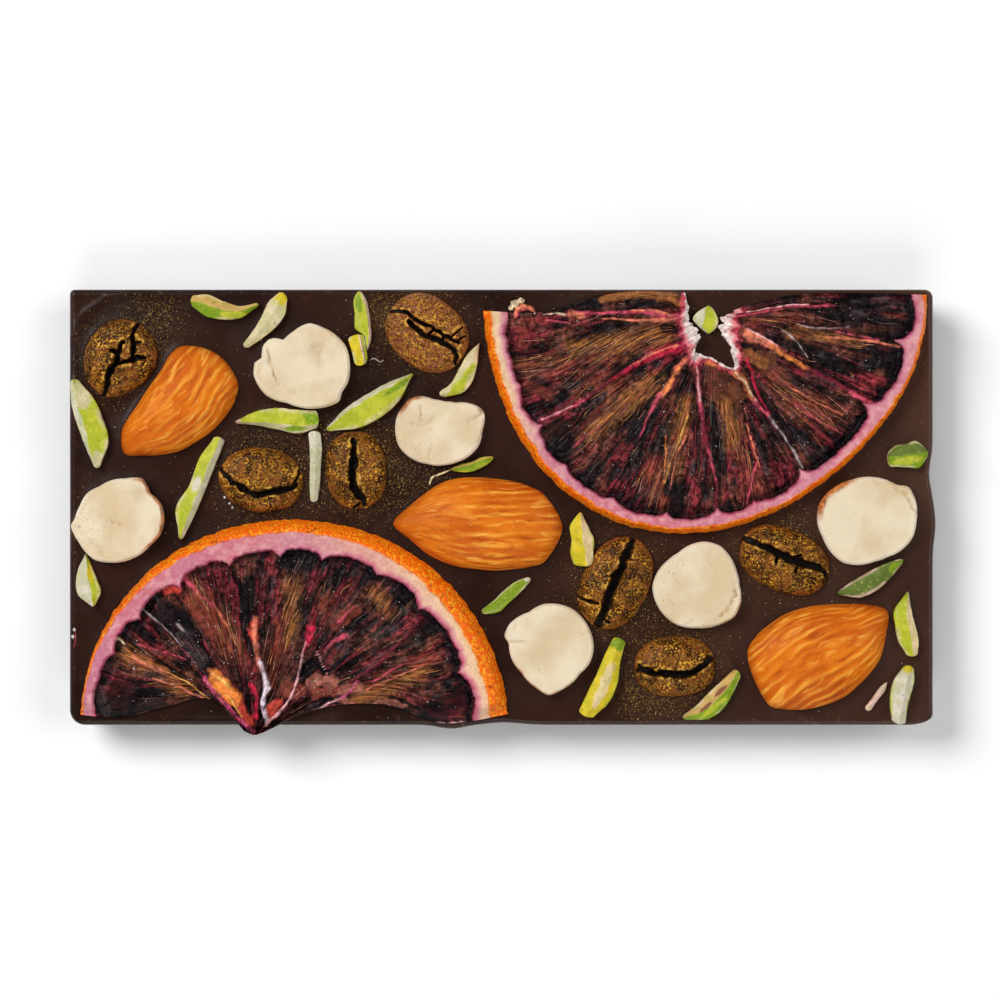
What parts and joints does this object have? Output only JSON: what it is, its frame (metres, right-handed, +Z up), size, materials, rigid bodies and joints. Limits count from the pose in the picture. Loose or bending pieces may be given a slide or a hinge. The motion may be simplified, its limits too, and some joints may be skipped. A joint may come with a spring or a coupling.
{
  "type": "chocolate bar with dried orange and nuts",
  "caption": "Dark chocolate bar set with dried blood-orange half slices, almonds, split hazelnuts, coffee beans and slivered pistachios, dusted with gold.",
  "frame": {"origin": "middle of the flat underside", "axes": "+Z up through the topped face, +X along the bar's length towards the upper slice's end, +Y across the bar"},
  "size_m": [0.1256, 0.0645, 0.0123],
  "materials": {
    "chocolate": "dark chocolate, satin top",
    "dried_orange": "dried blood orange, dark glossy flesh inside a pink pith and an orange skin",
    "almond": "orange-brown almond skin with lighter ridges, matt",
    "hazelnut": "cream hazelnut, smooth and matt",
    "coffee_bean": "roasted bean dusted with gold",
    "pistachio": "yellow-green pistachio, matt"
  },
  "bodies": {
    "root": {"chocolate_slab": "chocolate", "orange_slice_upper": "dried_orange", "orange_slice_lower": "dried_orange", "almond_1": "almond", "almond_2": "almond", "almond_3": "almond", "hazelnut_1": "hazelnut", "hazelnut_2": "hazelnut", "hazelnut_3": "hazelnut", "hazelnut_4": "hazelnut", "hazelnut_5": "hazelnut", "hazelnut_6": "hazelnut", "coffee_bean_1": "coffee_bean", "coffee_bean_2": "coffee_bean", "coffee_bean_3": "coffee_bean", "coffee_bean_4": "coffee_bean", "coffee_bean_5": "coffee_bean", "coffee_bean_6": "coffee_bean", "coffee_bean_7": "coffee_bean", "pistachio_1": "pistachio", "pistachio_2": "pistachio", "pistachio_3": "pistachio", "pistachio_4": "pistachio", "pistachio_5": "pistachio", "pistachio_6": "pistachio", "pistachio_7": "pistachio", "pistachio_8": "pistachio", "pistachio_9": "pistachio", "pistachio_10": "pistachio", "pistachio_11": "pistachio", "pistachio_12": "pistachio", "pistachio_13": "pistachio", "pistachio_14": "pistachio", "pistachio_15": "pistachio", "pistachio_16": "pistachio", "pistachio_17": "pistachio", "pistachio_18": "pistachio", "pistachio_19": "pistachio", "pistachio_20": "pistachio", "pistachio_21": "pistachio", "pistachio_22": "pistachio"}
  },
  "joints": []
}
